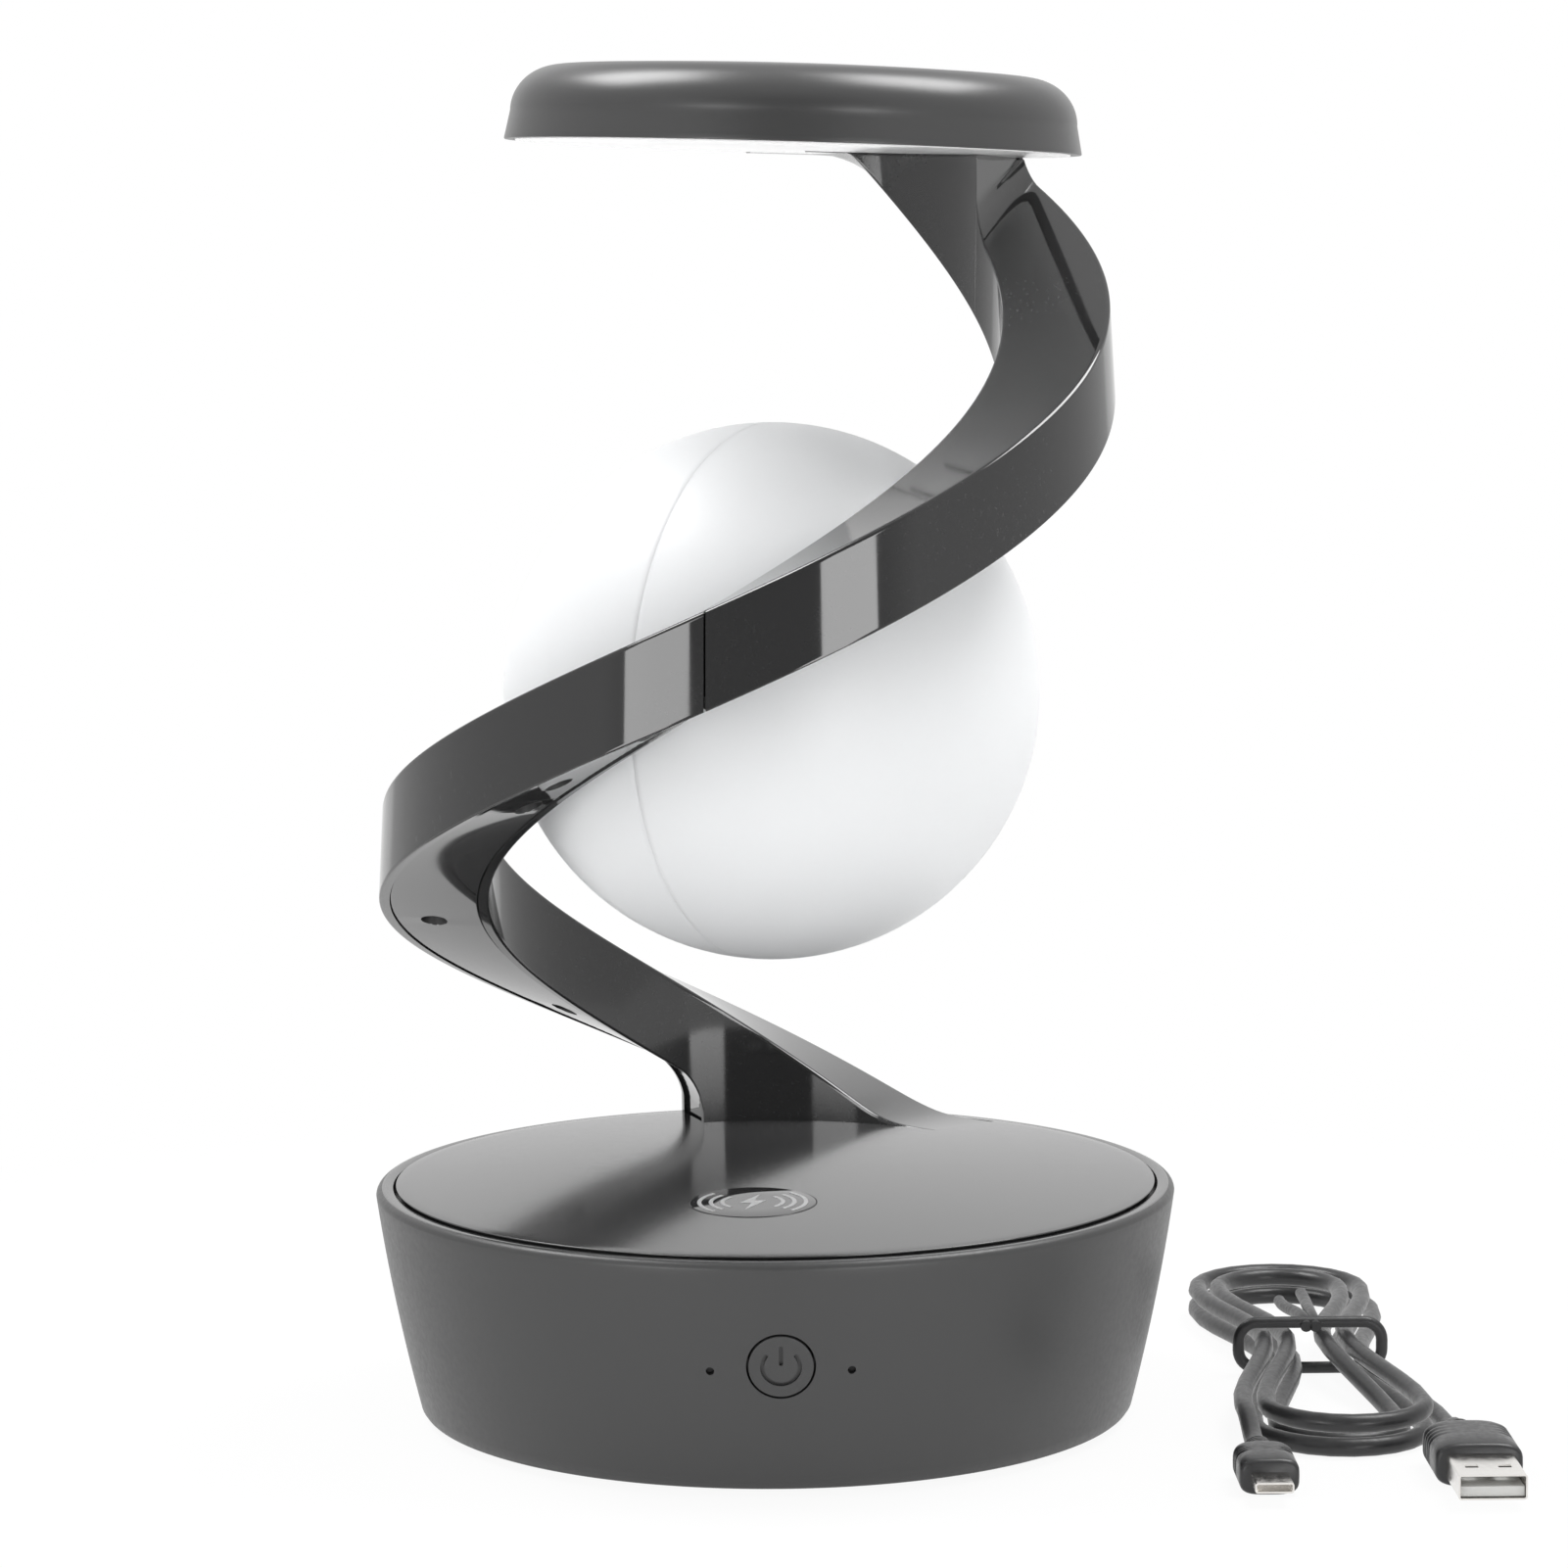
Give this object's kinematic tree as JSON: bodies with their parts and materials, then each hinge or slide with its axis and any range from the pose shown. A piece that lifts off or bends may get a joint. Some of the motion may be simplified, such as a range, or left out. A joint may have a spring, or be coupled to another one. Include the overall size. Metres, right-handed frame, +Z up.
{
  "type": "spiral table lamp",
  "caption": "Table lamp with a round charging base, a spiral ribbon arm, a frosted globe and a disc-shaped head; its power button presses in and a USB cable lies beside it",
  "frame": {"origin": "on the table, under the middle of the base", "axes": "+Z up; -Y towards the viewer, where the power button is; +X to the viewer's right, where the cable lies"},
  "size_m": [0.2063, 0.1681, 0.2531],
  "materials": {
    "base_grey": "fine matte paint-like grain",
    "dark_plastic": "matte",
    "rubber_black": "satin",
    "screw_steel": "zinc plated",
    "ballast_steel": "plain",
    "circuit_board": "solder mask",
    "nickel": "bright plated",
    "mark_gloss": "gloss",
    "coil_copper": "enamelled copper",
    "ferrite": "sintered",
    "clear_pipe": "clear plastic light pipe",
    "arm_gloss": "semi gloss",
    "arm_cover": "satin",
    "frosted_white": "frosted",
    "white_board": "white solder mask"
  },
  "bodies": {
    "lamp": {"base_housing": "base_grey", "base_top_plate": "base_grey", "bottom_cover": "dark_plastic", "rubber_feet": "rubber_black", "bottom_screws": "screw_steel", "ballast_plate": "ballast_steel", "main_board": "circuit_board", "usb_socket": "nickel", "charging_disc": "mark_gloss", "charging_coil": "coil_copper", "ferrite_sheet": "ferrite", "tact_switch": "dark_plastic", "button_board": "circuit_board", "status_leds": "clear_pipe", "foot_screws": "screw_steel", "arm_lower_channel": "arm_gloss", "arm_upper_channel": "arm_gloss", "arm_lower_cover": "arm_cover", "arm_upper_cover": "arm_cover", "arm_screws": "screw_steel", "arm_lead": "rubber_black", "head_shell": "base_grey", "head_diffuser": "frosted_white", "head_led_board": "white_board", "head_screws": "screw_steel", "head_board_screws": "screw_steel", "globe_front_shell": "frosted_white", "globe_rear_shell": "frosted_white", "globe_neck": "arm_gloss", "globe_nut": "screw_steel", "globe_led_board": "white_board", "cable_hank": "rubber_black", "usb_a_plug_body": "rubber_black", "usb_a_plug_shell": "nickel", "micro_plug_body": "rubber_black", "micro_plug_shell": "nickel", "hank_tie": "dark_plastic"},
    "button": {"power_button": "base_grey"},
    "plunger": {"switch_plunger": "dark_plastic"}
  },
  "joints": [
    {"name": "button_press", "type": "slide", "parent": "lamp", "child": "button", "axis": [0, 0.9823, 0.1871], "range_m": [0, 0.0005], "stiffness_N_per_m": 900},
    {"name": "plunger_press", "type": "slide", "parent": "lamp", "child": "plunger", "axis": [0, 0.9823, 0.1871], "range_m": [0, 0.0005]}
  ],
  "couplings": [
    {"joint": "plunger_press", "follows": "button_press", "ratio": 1}
  ]
}
